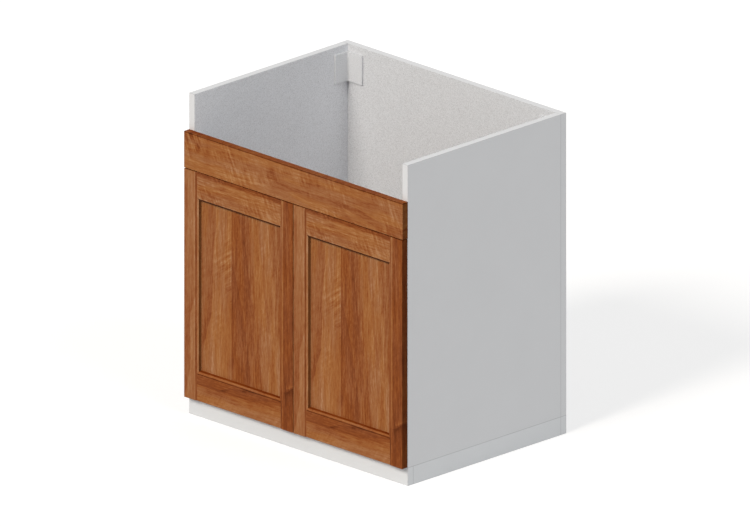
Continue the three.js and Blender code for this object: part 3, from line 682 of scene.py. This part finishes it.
def wood_tone(tree, place, lines, board, seed):
    """The tone of one board, from its bands, lines, streaks, ripple and knot."""
    knot = board.get("knot")
    if knot:
        knot_reach = (KNOT_STRETCH * knot["size"], knot["size"])
        near_knot = nearness(tree, place, knot["middle"], knot_reach)
        place = flow_round(tree, place, near_knot, knot["size"])
    tone = band_tone(tree, place, board, seed + 1)
    strength = board["streak"]
    if isinstance(strength, list):
        strength = tone_ramp(tree, place[1], strength)
    for number, kind in enumerate(STREAKS):
        size = kind["length"], kind["width"]
        streak = grain_noise(tree, place, *size, seed + 2 + number, kind["detail"], kind["twist"])
        streak = calc(tree, "MULTIPLY", streak, strength)
        tone = add_layer(tree, tone, streak, kind["weight"])
    tone = calc(tree, "ADD", tone, lines)
    strokes = ripple(tree, place, *board["ripple_at"], seed + 11)
    tone = add_layer(tree, tone, strokes, board["ripple"])
    for middle, reach, change in board.get("blotches", ()):
        tone = add_layer(tree, tone, nearness(tree, place, middle, reach), change)
    if knot:
        tone = add_layer(tree, tone, near_knot, knot["change"])
    return remap(tree, tone, (0, 1), (0, 1), soft=False)


print("streaks, mm wide:", [kind["width"] for kind in STREAKS])

# %% [markdown]
# One ramp of stain colours turns the tone into colour. A single ramp would look printed, so
# the hue drifts as well: rosier in one place, more tawny in another. It also turns rosier in
# the shade of a ring line. Edges and ends drink more stain than a face, so they come out
# darker and redder.

# %% Stain
STAINS = [
    (-0.90, paint("#241006")),
    (-0.45, paint("#42200c")),
    (0.00, paint("#632f13")),
    (0.10, paint("#713818")),
    (0.30, paint("#814320")),
    (0.45, paint("#8c4c25")),
    (0.60, paint("#975a31")),
    (0.76, paint("#9f6539")),
    (0.92, paint("#a87146")),
    (1.00, paint("#b07c52")),
]
ROSY = (0.935, 1.02, 1.25, 1.0)
TAWNY = (0.96, 0.985, 0.95, 1.0)
LINE_ROSINESS = 3.0
HUE_PATCH = (200, 35)
TOP_EDGE_STAIN = (0.70, 0.465, 0.185, 1.0)
SIDE_EDGE_STAIN = (0.47, 0.38, 0.25, 1.0)
EDGE_FACING = (0.75, 0.95)


def stain_edges(tree, colour):
    """The colour with the edges and ends darker and redder than the face."""
    facing = node(tree, "VectorMath", node(tree, "TexCoord", out="Normal"), operation="ABSOLUTE")
    x, y, z = split_axes(tree, facing)
    sideways = remap(tree, x, EDGE_FACING, (0, 1))
    upwards = remap(tree, z, EDGE_FACING, (0, 1))
    colour = tint(tree, 1.0, colour, tint(tree, sideways, WHITE, SIDE_EDGE_STAIN), "MULTIPLY")
    return tint(tree, 1.0, colour, tint(tree, upwards, WHITE, TOP_EDGE_STAIN), "MULTIPLY")


def stain(tree, place, tone, lines, board, seed):
    """The colour for a tone: rosier in a ring line's shade, more tawny where one is pale."""
    # The moulding's table is partly stain kept in its grooves, and partly painted shade and
    # painted light on its slopes and edges.
    glaze_and_painted_shading = board.get("glaze_and_painted_shading")
    if glaze_and_painted_shading:
        tone = calc(tree, "ADD", tone, tone_ramp(tree, place[1], glaze_and_painted_shading))
    colour = ramp(tree, tone, STAINS)
    hue = remap(tree, grain_noise(tree, place, *HUE_PATCH, seed + 19), (-0.5, 0.5), (0, 1))
    hue = calc(tree, "MULTIPLY_ADD", lines, -LINE_ROSINESS, hue)
    hue = calc(tree, "ADD", hue, board["rosy"], clamp=True)
    colour = tint(tree, 1.0, colour, tint(tree, hue, TAWNY, ROSY), "MULTIPLY")
    return stain_edges(tree, colour)


print("stain colours:", len(STAINS))

# %% [markdown]
# A wide panel is glued up from narrower staves. At the glue joint the figure stops and that
# of another stave starts. Two materials side by side could do that, but the panel is one
# piece. So the place in the figure jumps there by a fixed step.

# %% Glued staves
STAVE_SHIFT = (731.0, 100.0)


def next_stave(tree, place, joint):
    """The place in the figure, which jumps at a glue joint to that of another stave."""
    along, across, into = place
    stave = calc(tree, "GREATER_THAN", across, joint)
    jumped = calc(tree, "MULTIPLY_ADD", stave, STAVE_SHIFT[0], along)
    moved = calc(tree, "MULTIPLY_ADD", stave, STAVE_SHIFT[1], across)
    return jumped, moved, into


print("the figure jumps at a joint by", STAVE_SHIFT, "mm")

# %% [markdown]
# The finish of a member joins everything: the stained colour, the dark pores, a soft dark
# line along the eased edges, and a shine that is a little duller in the dark wood. Pores are
# real hollows, so they also dent the surface and are rougher than the wood round them.

# %% The wood's finish
EASED_LINE = 0.78
EASED_LINE_WIDTH = 0.0010
PORE_STAIN = 0.70
PORE_ROUGHNESS = 0.2
WOOD_ROUGHNESS = (0.56, 0.46)
WOOD_SHINE = 0.03
TONE_RELIEF = 0.3
WOOD_BUMP = 0.35
WOOD_RELIEF = 0.00015


def wood_finish(name, board, start, low, high):
    """Brown hardwood for one member; start is the corner from which its figure counts."""
    finish, tree, shader = new_finish(name)
    seed = board["seed"]
    place = board_place(tree, board["grain"], start)
    figure = place
    if "joint" in board:
        figure = next_stave(tree, place, board["joint"])
    lines = line_tone(tree, figure, board, seed)
    tone = wood_tone(tree, figure, lines, board, seed)
    colour = stain(tree, place, tone, lines, board, seed)
    pore = pores(tree, figure, seed + 17)
    deep = remap(tree, pore, (0, 1), (1.0, PORE_STAIN), soft=False)
    edge = edge_distance(tree, node(tree, "TexCoord", out="Object"), low, high)
    line = remap(tree, edge, (0.0, EASED_LINE_WIDTH), (EASED_LINE, 1.0))
    shade = calc(tree, "MULTIPLY", deep, line)
    tree.links.new(tint(tree, 1.0, colour, shade, "MULTIPLY"), shader.inputs["Base Color"])
    rough = remap(tree, tone, (0, 1), WOOD_ROUGHNESS, soft=False)
    rough = calc(tree, "MULTIPLY_ADD", pore, PORE_ROUGHNESS, rough)
    tree.links.new(rough, shader.inputs["Roughness"])
    shader.inputs["Specular IOR Level"].default_value = WOOD_SHINE
    height = calc(tree, "MULTIPLY_ADD", pore, -1.0, calc(tree, "MULTIPLY", tone, TONE_RELIEF))
    add_bump(tree, shader, height, WOOD_BUMP, WOOD_RELIEF)
    return finish


print("wood roughness, dark and pale:", WOOD_ROUGHNESS)

# %% [markdown]
# ## The figure of each door member
#
# Each member is cut from its own piece of wood, and the two doors are cut as a pair, so
# their figure repeats. All places here are millimetres from the door's lower left front
# corner, and a figure is read like this:
#
# - bands: the tone at places across the grain; sway: how far they shift along it, and drift:
#   how far they wander;
# - lines and marks: the routes of ring lines, along the grain and across it;
# - streak and ripple: how strong these layers are, and ripple_at: the strokes' slope, a
#   middle, a reach, and the strength elsewhere;
# - blotches and knot: a middle, a reach or a size, and how much the tone changes there;
# - rosy: how far the whole member leans to the rosy hue, or to the tawny one below zero;
# - glaze_and_painted_shading: a little stain kept in the moulding's grooves, and painted shade
#   and light: it lowers the tone where the moulding is shaded and raises it where it catches
#       light.
#
# The stiles are the upright members. One is cut from pale wood, with a long ring line that
# leaves the board at a slant. The other is dark, with a small knot near its foot.

# %% The stiles
STILE_PALE = dict(
    grain="up", seed=1.0, rosy=0.75, drift=4.0, streak=0.8,
    bands=[(0, 0.70), (16, 0.73), (34, 0.76), (52, 0.74)],
    lines=[
        dict(points=[(360, -5), (406, 4), (452, 9), (494, 12), (600, 13)], fade=-12, depth=0.17,
             span=(380, 590)),
        dict(points=[(0, 0), (29, 8), (60, 15), (98, 22), (144, 21), (198, 21), (233, 23),
                     (248, 27), (275, 35), (320, 46)], fade=-26, depth=0.22, span=(-30, 300)),
    ],
    blotches=[((500, 18), (90, 6), 0.08), ((210, 27), (60, 4), 0.06),
              ((350, 10), (60, 20), -0.05)],
    ripple=0.08, ripple_at=(-0.8, (300, 20), (100, 30), 0.4),
    # Painted shade on the moulding's slope that faces right, and painted light on the steep wall
    # beside the panel.
    glaze_and_painted_shading=[(0, 0.0), (37.5, 0.0), (38.5, 0.10), (40.2, 0.10), (41.2, -0.42), (44.8, -0.42),
           (46.0, 0.08), (51.0, 0.08), (51.8, 0.45), (60, 0.45)],
)
STILE_DARK = dict(
    grain="up", seed=2.0, rosy=-0.1, drift=4.0, streak=0.9,
    bands=[(346, 0.52), (354, 0.46), (364, 0.36), (380, 0.35), (397, 0.37), (397.8, 0.50)],
    lines=[
        dict(points=[(-50, 350), (650, 375)], fade=10, depth=0.08, span=(-60, 700)),
        dict(points=[(-50, 402), (330, 384)], fade=16, depth=0.10, span=(-60, 330)),
    ],
    marks=[
        dict(points=[(350, 104), (364, 103), (376, 105), (384, 110), (392, 117), (398, 119)],
             fade=-16, depth=0.34, span=(364, 400)),
        dict(points=[(374, 113), (384, 116), (392, 122), (398, 124)], fade=7, depth=-0.30,
             span=(376, 400)),
    ],
    blotches=[((60, 378), (36, 22), -0.10), ((600, 376), (70, 30), 0.08)],
    ripple=0.06, ripple_at=(-0.8, (300, 380), (200, 30), 0.4),
    knot=dict(middle=(109, 386), size=5, change=-0.08),
    # Painted light on the moulding's slope that faces left.
    glaze_and_painted_shading=[(340, 0.0), (356.0, 0.0), (357.6, 0.32), (361.6, 0.32), (363.0, 0.0), (400, 0.0)],
)
print("stile figures: pale and dark")

# %% [markdown]
# The rails are the level members. The top one is rippled all along, and painted shade
# darkens its lower edge under the moulding. In the bottom one a dark band meets a pale one, and
# two pin knots sit in the dark.

# %% The rails
TOP_RAIL = dict(
    grain="level", seed=3.0, rosy=0.0, drift=3.0, streak=1.0,
    bands=[(549, 0.80), (565, 0.76), (590, 0.66), (604, 0.72), (613, 0.70), (618, 0.40),
           (627, 0.34)],
    lines=[
        dict(points=[(140, 582), (340, 576)], fade=8, depth=0.12, span=(140, 340)),
        dict(points=[(60, 574), (300, 579)], fade=-9, depth=0.12, span=(60, 300)),
        dict(points=[(290, 604), (320, 612), (350, 618)], fade=9, depth=0.16, span=(305, 420)),
    ],
    blotches=[((300, 580), (60, 20), 0.08), ((170, 609), (45, 3), 0.08)],
    ripple=0.46, ripple_at=(0.5, (150, 590), (90, 26), 0.4),
    # Painted shade along the lower edge, where the moulding faces down, and a little painted
    # light just above it.
    glaze_and_painted_shading=[(540, -1.3), (554.0, -1.3), (555.4, 0.0), (556.0, 0.08), (560, 0.08), (562, 0.0),
           (630, 0.0)],
)
BOTTOM_RAIL = dict(
    grain="level", seed=4.0, rosy=-0.2, drift=2.0, streak=0.75,
    bands=[(0, 0.80), (14, 0.75), (30, 0.62), (43, 0.57), (48, 0.48), (66, 0.47), (90, 0.46)],
    sway=[(0, -2), (246, 0), (300, 8), (354, 15)],
    lines=[
        dict(points=[(0, 44), (128, 46), (246, 46), (300, 54), (354, 61)], fade=14, depth=0.12,
             span=(30, 420)),
        dict(points=[(100, 42), (128, 46), (169, 62), (220, 71), (300, 76)], fade=-7, depth=0.26,
             span=(118, 270)),
        dict(points=[(246, 46), (290, 60), (340, 70), (400, 76)], fade=6, depth=0.18,
             span=(250, 400)),
    ],
    ripple=0.22, ripple_at=(-0.6, (90, 30), (60, 20), 0.4),
    blotches=[((217, 66), (3.0, 1.6), -0.55), ((226, 64), (2.4, 1.4), -0.45)],
    knot=dict(middle=(221, 65), size=4, change=-0.08),
    # A dark line along the step of the moulding, partly stain and partly painted shade, then
    # painted light on the slope above it, which faces up.
    glaze_and_painted_shading=[(0, 0.0), (71.6, 0.0), (72.4, -0.45), (74.6, -0.45), (75.6, 0.14), (79.6, 0.14),
           (80.6, 0.0), (90, 0.0)],
)
print("rail figures: top and bottom")

# %% [markdown]
# The panel is glued from two staves, 162 mm from the door's left edge. The left one is pale
# and calm, with a patch of ripple. The right one starts dark and turns pale, with slanting
# ring lines. Its places are those of the other stave, 731 mm further along and 100 across.

# %% The panel
PANEL = dict(
    grain="up", seed=5.0, joint=162, rosy=-0.08, drift=5.0,
    streak=[(162, 0.85), (262, 1.0)],
    bands=[(40, 0.76), (84, 0.75), (104, 0.78), (125, 0.77), (145, 0.71), (165, 0.68),
           (200, 0.66), (235, 0.41), (285, 0.43), (305, 0.50), (330, 0.60), (355, 0.69),
           (388, 0.72), (406, 0.83), (427, 0.63), (445, 0.52), (500, 0.5)],
    sway=[(0, 0), (731, 0), (831, 26), (1131, 2), (1331, -22)],
    lines=[
        dict(points=[(140, 58), (166, 66), (186, 72), (212, 77), (248, 90), (289, 93), (392, 92),
                     (440, 97), (480, 105), (610, 108)], fade=-30, depth=0.28, span=(150, 640)),
        dict(points=[(831, 330), (931, 318), (1031, 296), (1131, 268)], fade=-14, depth=0.17,
             span=(780, 1120)),
        dict(points=[(831, 372), (981, 352), (1131, 322), (1281, 300)], fade=-12, depth=0.15,
             span=(800, 1260)),
        dict(points=[(1000, 392), (1131, 374), (1331, 350)], fade=10, depth=0.14,
             span=(1000, 1300)),
    ],
    # The two blotches are painted light: a pale strip along the top of each stave, just under the
    # top rail, which lightens the rail's shadow there.
    blotches=[((546, 100), (5, 400), 0.10), ((1277, 350), (5, 400), 0.10)],
    ripple=0.42, ripple_at=(-0.7, (330, 145), (120, 24), 0.15),
)
print("panel figure: glued at", PANEL["joint"], "mm")

# %% [markdown]
# The fascia is one long level board over both doors. Its places count from its own lower
# left corner. A long ring line rises and falls in its lower half, with a pale one and a dark
# curve under it, and blotches and ripple lie over the rest.

# %% The fascia
FASCIA = dict(
    grain="level", seed=6.0, rosy=-0.06, drift=7.0, streak=0.72,
    bands=[(0, 0.74), (20, 0.78), (38, 0.76), (54, 0.72), (72, 0.72), (86, 0.76), (100, 0.68)],
    lines=[
        dict(points=[(250, 38), (333, 44), (469, 44), (573, 47), (651, 41), (698, 31), (800, 28)],
             fade=-24, depth=0.24, span=(320, 900)),
        dict(points=[(365, 31), (448, 19), (500, 18), (547, 10), (585, -4)], fade=-9, depth=-0.26,
             span=(390, 620)),
        dict(points=[(530, 44), (577, 36), (602, 15), (628, 0), (660, -14)], fade=-14, depth=0.14,
             span=(545, 680)),
        dict(points=[(120, 16), (240, 22), (330, 30)], fade=-8, depth=-0.18, span=(130, 310)),
        dict(points=[(150, 36), (260, 41), (340, 36)], fade=12, depth=-0.08, span=(150, 330)),
        dict(points=[(540, 40), (640, 26), (720, 8)], fade=8, depth=0.14, span=(560, 700)),
    ],
    blotches=[((322, 60), (12, 15), -0.26), ((480, 72), (24, 9), -0.16),
              ((668, 68), (28, 20), -0.12), ((760, 58), (38, 16), 0.10),
              ((84, 66), (9, 26), -0.18), ((30, 78), (20, 14), -0.12),
              ((160, 84), (40, 8), -0.08)],
    ripple=0.60, ripple_at=(0.45, (60, 70), (70, 30), 0.4),
    # Painted shade: a dark line just below the fascia's top front edge.
    glaze_and_painted_shading=[(0, 0.0), (96.6, 0.0), (97.4, -0.75), (99.4, -0.75), (99.9, 0.0)],
)
print("fascia figure:", len(FASCIA["lines"]), "ring lines")

# %% [markdown]
# The two doors mirror each other as joinery, with their hinge stiles outside, but their wood
# doesn't: the pale stile is on the left of both. So in the right door the two stile figures
# change places, and its corner piece, from which places count, is the middle stile.

# %% Dress the doors
DOOR_MEMBERS = {
    "hinge_stile": STILE_PALE,
    "middle_stile": STILE_DARK,
    "top_rail": TOP_RAIL,
    "bottom_rail": BOTTOM_RAIL,
    "panel": PANEL,
}
FIGURE_IN_RIGHT_DOOR = {"hinge_stile": STILE_DARK, "middle_stile": STILE_PALE}
DOOR_CORNER_PIECE = {"left": "left_door_hinge_stile", "right": "right_door_middle_stile"}

for side, corner_piece in DOOR_CORNER_PIECE.items():
    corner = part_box(corner_piece)[0]
    for member, figure in DOOR_MEMBERS.items():
        if side == "right":
            figure = FIGURE_IN_RIGHT_DOOR.get(member, figure)
        low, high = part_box(f"{side}_door_{member}")
        finish = wood_finish(f"wood_{side}_{member}", figure, corner, low, high)
        dress(f"{side}_door_{member}", finish)
print("door members dressed:", 2 * len(DOOR_MEMBERS))

# %% [markdown]
# The fascia's figure counts from its own lower left corner, so its own box serves twice: as
# the start of its figure, and for the soft line along its eased edges.

# %% Dress the fascia
fascia_low, fascia_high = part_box("fascia")
dress("fascia", wood_finish("wood_fascia", FASCIA, fascia_low, fascia_low, fascia_high))
print("fascia dressed,", round(1000 * (fascia_high[2] - fascia_low[2])), "mm high")

# %% [markdown]
# ## Metal
#
# The hinges are nickel-plated pressed steel: bright, a little brushed, with softened
# highlights. The cams in the bottom panel are cast zinc, greyer and duller. Both could be
# one grey metal, but then they would look like plastic copies of each other. One helper
# makes both, and a fine noise varies the colour and the shine a little, as real plating does.

# %% Plated steel and cast zinc
def metal_finish(name, colour, roughness, grain_scale, unevenness):
    """Bare or plated metal; unevenness is how much its colour and shine vary."""
    finish, tree, shader = new_finish(name)
    place = node(tree, "TexCoord", out="Object")
    cloud = node(tree, "TexNoise", place, None, grain_scale, 3.0, 0.6)
    darkest, palest = 1.0 - unevenness, 1.0 + 0.4 * unevenness
    shade = remap(tree, cloud, NOISE_SPAN, (darkest, palest), soft=False)
    tree.links.new(tint(tree, 1.0, colour, shade, "MULTIPLY"), shader.inputs["Base Color"])
    smooth, dull = roughness - 0.7 * unevenness, roughness + 0.7 * unevenness
    rough = remap(tree, cloud, NOISE_SPAN, (smooth, dull), soft=False)
    tree.links.new(rough, shader.inputs["Roughness"])
    shader.inputs["Metallic"].default_value = 1.0
    return finish


plated_steel = metal_finish(
    "plated_steel", paint("#c6c8ca"), roughness=0.27, grain_scale=500.0, unevenness=0.04
)
cast_zinc = metal_finish(
    "cast_zinc", paint("#a8abae"), roughness=0.48, grain_scale=1500.0, unevenness=0.10
)
print("metals:", plated_steel.name, "and", cast_zinc.name)

# %% [markdown]
# ## Powder coat
#
# The corner brackets are steel with a white powder coat. It is sprayed on dry and baked, and
# dries with a fine orange peel. Here it is speckled like the boards inside, so the same
# printed specks serve. The faces that look up are made a little darker.

# %% White powder coat
COAT_WHITE = paint("#dadcdf")
COAT_ROUGHNESS = 0.45
PEEL_SCALE = 700.0
PEEL_SHADE = (0.97, 1.02)
PEEL_BUMP = 0.2
PEEL_HEIGHT = 0.0001
UP_FACES_DARKER = 0.82


def powder_coat_finish():
    """Speckled powder coat, faintly like orange peel; the faces that look up are a little darker.
    """
    finish, tree, shader = new_finish("white_powder_coat")
    spot = tree.nodes.new("ShaderNodeTexCoord")
    place, facing = spot.outputs["Object"], spot.outputs["Normal"]
    orange_peel = node(tree, "TexNoise", place, None, PEEL_SCALE, 2.0, 0.5)
    shade = remap(tree, orange_peel, NOISE_SPAN, PEEL_SHADE, soft=False)
    shade = calc(tree, "ADD", shade, printed_specks(tree, place))
    upwards = node(tree, "VectorMath", facing, (0, 0, 1), out="Value", operation="DOT_PRODUCT")
    # The faces that look up are made a little darker.
    up_darkening = remap(tree, upwards, FACING_SPAN, (1.0, UP_FACES_DARKER))
    shade = calc(tree, "MULTIPLY", shade, up_darkening)
    tree.links.new(tint(tree, 1.0, COAT_WHITE, shade, "MULTIPLY"), shader.inputs["Base Color"])
    shader.inputs["Roughness"].default_value = COAT_ROUGHNESS
    shader.inputs["Specular IOR Level"].default_value = BOARD_SHINE
    add_bump(tree, shader, orange_peel, PEEL_BUMP, PEEL_HEIGHT)
    return finish


powder_coat = powder_coat_finish()
print("bracket finish:", powder_coat.name)

# %% [markdown]
# ## Rubber
#
# The doors close against small stops of clear soft rubber. Clear rubber is never as clear as
# glass: a haze scatters the light in it. So only part of the light goes through, and the
# rest comes back from a pale, slightly cloudy colour.

# %% Clear rubber
HAZE_DARK = paint("#cfd3d2")
HAZE_PALE = paint("#e6e8e7")
HAZE_SCALE = 800.0
RUBBER_ROUGHNESS = 0.35
RUBBER_CLEARNESS = 0.4


def rubber_finish():
    """Clear soft rubber with a haze in it."""
    finish, tree, shader = new_finish("clear_rubber")
    place = node(tree, "TexCoord", out="Object")
    haze = node(tree, "TexNoise", place, None, HAZE_SCALE, 2.0, 0.5)
    tree.links.new(tint(tree, haze, HAZE_DARK, HAZE_PALE), shader.inputs["Base Color"])
    shader.inputs["Roughness"].default_value = RUBBER_ROUGHNESS
    shader.inputs["Transmission Weight"].default_value = RUBBER_CLEARNESS
    return finish


clear_rubber = rubber_finish()
print("stop finish:", clear_rubber.name)

# %% [markdown]
# The fittings share these few finishes. Their names say what they are, so a finish is chosen
# by how a name starts, and every hinge part gets its plating in one line.

# %% Dress the fittings
FITTING_FINISH = {
    "hinge_": plated_steel,
    "cam_bolt": plated_steel,
    "cam_lock": cast_zinc,
    "corner_bracket": powder_coat,
    "left_door_bumper": clear_rubber,
    "right_door_bumper": clear_rubber,
}

fittings = 0
for name in cad_nodes:
    for start, finish in FITTING_FINISH.items():
        if name.startswith(start):
            dress(name, finish)
            fittings += 1
print("fittings dressed:", fittings)

# %% [markdown]
# ## Softened edges
#
# No real edge is razor sharp, and the light that catches on a rounded edge is what makes a
# board look solid. The shader can fake that, but not in the outline. So the Bevel modifier
# rounds the edges of the boards, the fascia and the brackets, without changing the CAD mesh.
# The loaded triangles don't share their corners, so a Weld modifier joins them first. The
# door members have their rounding in the CAD model, and the hinges look cleaner without it.

# %% Round the edges of the boards, the fascia and the brackets
EDGE_ROUNDING = 0.0003
FASCIA_ROUNDING = 0.0005
WELD_DISTANCE = 0.00001
SHARP_ANGLE = math.radians(50)


def round_edges(name, width):
    """Rounds a piece's sharp edges; width is in metres."""
    piece = cad_nodes[name]
    weld = piece.modifiers.new("weld", "WELD")
    weld.merge_threshold = WELD_DISTANCE
    bevel = piece.modifiers.new("rounded_edges", "BEVEL")
    bevel.width = width
    bevel.segments = 2
    bevel.limit_method = "ANGLE"
    bevel.angle_limit = SHARP_ANGLE


brackets = [name for name in cad_nodes if name.startswith("corner_bracket")]
for name in [*BOARD_INWARD, *brackets]:
    round_edges(name, EDGE_ROUNDING)
round_edges("fascia", FASCIA_ROUNDING)
print("pieces with rounded edges:", len(BOARD_INWARD) + len(brackets) + 1)

# %% [markdown]
# ## The last step
#
# The last line brings the view layer up to date.

# %% Bring the scene up to date
bpy.context.view_layer.update()
